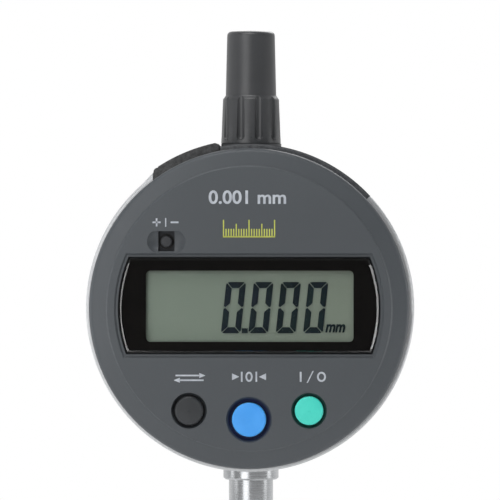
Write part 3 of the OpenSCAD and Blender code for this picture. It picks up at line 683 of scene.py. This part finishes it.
acrylic = bpy.data.materials.new("clear_acrylic")
acrylic.use_nodes = True
clear_tree = acrylic.node_tree
clear = clear_tree.nodes["Principled BSDF"]
for label, value in {"Base Color": (0.97, 0.98, 0.97, 1), "Transmission Weight": 1.0, "IOR": 1.49,
                     "Coat Weight": 0.7, "Coat Roughness": 0.02, "Coat IOR": 1.6}.items():
    clear.inputs[label].default_value = value
on_window = add(clear_tree, "TexCoord").outputs["Object"]
wiped = add(clear_tree, "Group", {"Position": on_window, "Size": 55.0}, node_tree=handling_group)
smear = between(clear_tree, wiped.outputs["Touched"], 0.35, 1.0, low=0.008, high=0.05)
clear_tree.links.new(smear, clear.inputs["Roughness"])
shadow_ray = add(clear_tree, "LightPath").outputs["Is Shadow Ray"]
unshaded = add(clear_tree, "BsdfTransparent", {"Color": (0.95, 0.96, 0.95, 1)}).outputs[0]
through = add(clear_tree, "MixShader", {0: shadow_ray, 1: clear.outputs[0], 2: unshaded})
clear_tree.links.new(through.outputs[0], clear_tree.nodes["Material Output"].inputs["Surface"])
dress(acrylic, "window")

window_low, window_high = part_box("window")
print_inset, print_lift, bevel_deep = 0.0001, 0.00002, 0.0005
opening_x, opening_z, opening_wide, opening_high, opening_r = 0.0001, 0.00045, 0.037, 0.0127, 0.0008
outline_x, outline_z = 0.0188, 0.0072    # every edge of the opening lies nearer the middle than this
border = bmesh.new()
bmesh.ops.create_circle(border, cap_ends=True, radius=(window_high.x - window_low.x) / 2 - print_inset,
                        segments=256)
for edge_z, side in ((window_high.z - case_z - print_inset, 1), (window_low.z - case_z + print_inset, -1)):
    bmesh.ops.bisect_plane(border, geom=border.verts[:] + border.edges[:] + border.faces[:],
                           plane_co=(0, edge_z, 0), plane_no=(0, side, 0), clear_outer=True)
opening_at = Matrix.Translation((opening_x, opening_z, 0))
opening = bmesh.ops.create_grid(border, x_segments=1, y_segments=1, size=0.5,
                                matrix=opening_at @ Matrix.Diagonal((opening_wide, opening_high, 1, 1)))
bmesh.ops.bevel(border, geom=opening["verts"], offset=opening_r, offset_type="OFFSET", segments=8,
                profile=0.5, affect="VERTICES", material=-1)
bmesh.ops.delete(border, geom=border.faces[:], context="FACES_ONLY")
outline = [edge for edge in border.edges if max(abs(v.co.x) for v in edge.verts) > outline_x
           or max(abs(v.co.y) for v in edge.verts) > outline_z]
bmesh.ops.triangle_fill(border, use_beauty=True, edges=border.edges[:])
wall = bmesh.ops.extrude_edge_only(border, edges=outline)["geom"]
bmesh.ops.translate(border, verts=[v for v in wall if isinstance(v, bmesh.types.BMVert)],
                    vec=(0, 0, window_high.y - window_low.y - bevel_deep))
# The extrusion lists its new faces in no fixed order, so they are put in order of their place
order = Vector((1.0, 2.7, 7.1))
border.verts.sort(key=lambda vert: vert.co.dot(order))
border.edges.sort(key=lambda edge: (edge.verts[0].co + edge.verts[1].co).dot(order))
border.faces.sort(key=lambda face: face.calc_center_median().dot(order))
print_black = Finish("black_print", dark=(9, 7, 6), light=(12, 9, 8), rough=(0.5, 0.6), grain=2500.0,
                     depth=1e-6, patch=80.0)
face_front(border, window_high.y - print_lift, "window_border", print_black.done(Specular_IOR_Level=0.05))


# ---- Printed marks ----
# Pad-printed in pale grey ink: the sign, unit, zero and power symbols over their keys and the
# reading step; the ruler of ticks is yellow-green.

ink_y = face_y - 0.000015


def stroke(form, x, z, wide, high, lean=0.0):
    """One straight bar of ink, which may lean."""
    shear = Matrix.Identity(4)
    shear[0][1] = lean
    bmesh.ops.create_grid(form, x_segments=1, y_segments=1, size=0.5,
                          matrix=Matrix.Translation((x, z, 0)) @ shear @ Matrix.Diagonal((wide, high, 1, 1)))


def arrow(form, x, z, wide, high):
    """A solid arrowhead; a negative width points it left."""
    spin = Matrix.Rotation(-math.pi / 2, 4, "Z")
    bmesh.ops.create_circle(form, cap_ends=True, radius=1.0, segments=3, matrix=Matrix.Translation(
        (x, z, 0)) @ Matrix.Diagonal((wide / 1.5, high / 1.732, 1, 1)) @ spin)


def loop(form, x, z, wide, high, thick):
    """An upright ring of ink."""
    rims = []
    for shrink in (0, 2 * thick):
        oval = Matrix.Translation((x, z, 0)) @ Matrix.Diagonal((wide - shrink, high - shrink, 1, 1))
        ring = bmesh.ops.create_circle(form, cap_ends=False, radius=0.5, segments=40, matrix=oval)["verts"]
        rims += {edge for v in ring for edge in v.link_edges}
    bmesh.ops.bridge_loops(form, edges=rims)


def printed(form, name, ink):
    """Puts a flat drawing on the case's face."""
    face_front(form, ink_y, name, ink)


pale_ink = Finish("pale_ink", dark=(176, 181, 190), light=(196, 201, 208), rough=(0.4, 0.5), grain=4500.0,
                  depth=4e-6, patch=700.0).done()
lime_ink = Finish("lime_ink", dark=(186, 192, 78), light=(206, 211, 98), rough=(0.4, 0.5), grain=4500.0,
                  depth=4e-6, patch=700.0).done()

thick = 0.0003
plus_x, divider_x, minus_x, sign_z, arm = -0.01647, -0.01485, -0.01327, 0.01542, 0.00145
sign_mark = bmesh.new()
stroke(sign_mark, plus_x, sign_z, wide=arm, high=thick)
stroke(sign_mark, plus_x, sign_z, wide=thick, high=arm)
stroke(sign_mark, divider_x, z=0.0154, wide=0.0002, high=0.00155)
stroke(sign_mark, minus_x, sign_z, wide=0.0014, high=thick)
printed(sign_mark, "mark_sign", pale_ink)

unit_x, unit_z, half_gap, shaft_back, tip_out = -0.0106, -0.0123, 0.00042, 0.0004, 0.0021
unit_mark = bmesh.new()
for side in (1, -1):
    stroke(unit_mark, unit_x - side * shaft_back, unit_z + side * half_gap, wide=0.0042, high=0.00028)
    arrow(unit_mark, unit_x + side * tip_out, unit_z + side * half_gap, wide=side * 0.0011, high=0.0009)
printed(unit_mark, "mark_unit", pale_ink)

row_z, row_high, ring_thick, bar_x, arrow_x = -0.0121, 0.0018, 0.00032, 0.0013, 0.0026
zero_mark = bmesh.new()
loop(zero_mark, 0, row_z, wide=0.0013, high=row_high, thick=ring_thick)
for side in (1, -1):
    stroke(zero_mark, side * bar_x, row_z, wide=thick, high=row_high)
    arrow(zero_mark, side * arrow_x, row_z, wide=-side * 0.0013, high=0.0012)
printed(zero_mark, "mark_zero", pale_ink)

on_x, slash_x, off_x = 0.0092, 0.0109, 0.0129
power_mark = bmesh.new()
stroke(power_mark, on_x, row_z, wide=ring_thick, high=row_high)
stroke(power_mark, slash_x, row_z, wide=0.00022, high=0.0021, lean=0.5)
loop(power_mark, off_x, row_z, wide=0.0016, high=row_high, thick=ring_thick)
printed(power_mark, "mark_power", pale_ink)

step_mark = lettering("0.001 mm", width=0.0138, height=0.00245, x=-0.0003, z=0.0199, weight=0.02)
printed(step_mark, "mark_step", pale_ink)

ticks, tick_pitch, ruler_z = 21, 0.000455, 0.01285
end_tick, middle_tick, short_tick = 0.0030, 0.0023, 0.0014
ruler = bmesh.new()
stroke(ruler, 0, ruler_z, wide=0.0093, high=0.00022)
for tick in range(ticks):
    tall = end_tick if tick % 10 == 0 else middle_tick if tick % 5 == 0 else short_tick
    stroke(ruler, (tick - ticks // 2) * tick_pitch, ruler_z + tall / 2, wide=0.0002, high=tall)
printed(ruler, "mark_ruler", lime_ink)


# ---- Head block ----
# A plastic moulding let into the top of the frame. It carries the spindle's upper bush, the
# battery bay on the left and the data socket on the right.

block = Finish("block_grey", dark=(66, 68, 71), light=(74, 76, 79), rough=(0.4, 0.52), grain=3200.0,
               depth=5e-6, patch=60.0)
# Painted highlight: the block's front and rear faces are painted paler in specks for light caught by its
# rim, along with some wear
block_rim_highlight = figure(block.tree, "MAXIMUM", between(block.tree, block.at["Y"], -0.0078, -0.0082),
                   between(block.tree, block.at["Y"], 0.0056, 0.006))
block.wear_and_highlight(block_rim_highlight, colour=(104, 106, 109), rough=0.36, speck=1800.0)
dress(block.done(), "head_block", "port_cover")


# ---- Battery lid, cell and contacts ----
# The arched lid and its tray are one black moulding that slides up out of the bay with a nickel
# plated button cell; two gold-flashed spring strips touch the cell's faces.

lid = Finish("lid_black", dark=(36, 36, 37), light=(43, 43, 44), rough=(0.42, 0.54), grain=3400.0,
             depth=4e-6, patch=110.0)
lid_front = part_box("battery_drawer")[0].y
# Painted highlight: the lid's outer arch and its front edge are painted paler in specks, along with rubbed
# wear
lid_rim_highlight = figure(lid.tree, "MAXIMUM", between(lid.tree, lid.at["From Case Axis"], 0.0302, 0.0305),
                 between(lid.tree, lid.at["Y"], lid_front + 0.0003, lid_front))
lid.wear_and_highlight(lid_rim_highlight, colour=(84, 85, 86), rough=0.36, speck=1800.0)
dress(lid.done(), "battery_drawer")

nickel = Finish("nickel_cell", dark=(186, 187, 186), light=(206, 207, 205), rough=(0.16, 0.26), metallic=1.0,
                grain=3500.0, depth=8e-7, patch=200.0)
nickel.marks(from_middle(nickel, *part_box("button_cell")), 9000.0, depth=1.2e-6, tone=0.05)
dress(nickel.done(), "button_cell")

gold = Finish("gold_flash", dark=(196, 158, 84), light=(220, 184, 108), rough=(0.18, 0.3), metallic=1.0,
              grain=6000.0, depth=1e-6, patch=500.0)
dress(gold.done(), "cell_contact_plus", "cell_contact_minus", "port_pins")


# ---- Spindle cap and upper bush ----
# The cap is turned-looking moulded plastic with ten finger flutes round its skirt. It screws
# over the collar of the upper bush and hides the top of the spindle.

cap = Finish("cap_grey", dark=(65, 66, 68), light=(71, 72, 74), rough=(0.34, 0.42), grain=3000.0,
             depth=3e-6, patch=90.0, touch=120.0)
cap_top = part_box("spindle_cap")[1].z
crown_rim = between(cap.tree, cap.at["Z"], cap_top - 0.0012, cap_top - 0.0003)
skirt_rim = between(cap.tree, cap.at["From Spindle"], 0.00495, 0.00535)
cap.wear_and_highlight(figure(cap.tree, "MAXIMUM", crown_rim, skirt_rim), colour=(76, 78, 80), rough=0.25, speck=2200.0)
dress(cap.done(), "spindle_cap")

collar = Finish("turned_collar", dark=(150, 152, 155), light=(172, 174, 176), rough=(0.26, 0.38),
                metallic=1.0, grain=3000.0, depth=2e-6, patch=200.0)
collar.marks(collar.at["Z"], 5000.0, depth=3e-6, tone=0.06)
dress(collar.done(), "upper_bush")


# ---- Rear cover ----
# A flat aluminium cover with the mounting lug in one casting, faced in a lathe and sprayed the
# same satin silver as the frame; four pan-head screws hold it.

cover = Finish("rear_cover_silver", dark=(190, 192, 194), light=(204, 206, 208), rough=(0.38, 0.5),
               metallic=0.25, grain=5200.0, depth=4e-6, patch=50.0)
cover.marks(cover.at["From Case Axis"], 2600.0, depth=2e-6, tone=0.04)
cover_rim = between(cover.tree, cover.at["From Case Axis"], 0.0284, 0.0289)
cover.wear_and_highlight(cover_rim, colour=(208, 209, 211), rough=0.3)
dress(cover.done(), "rear_cover")
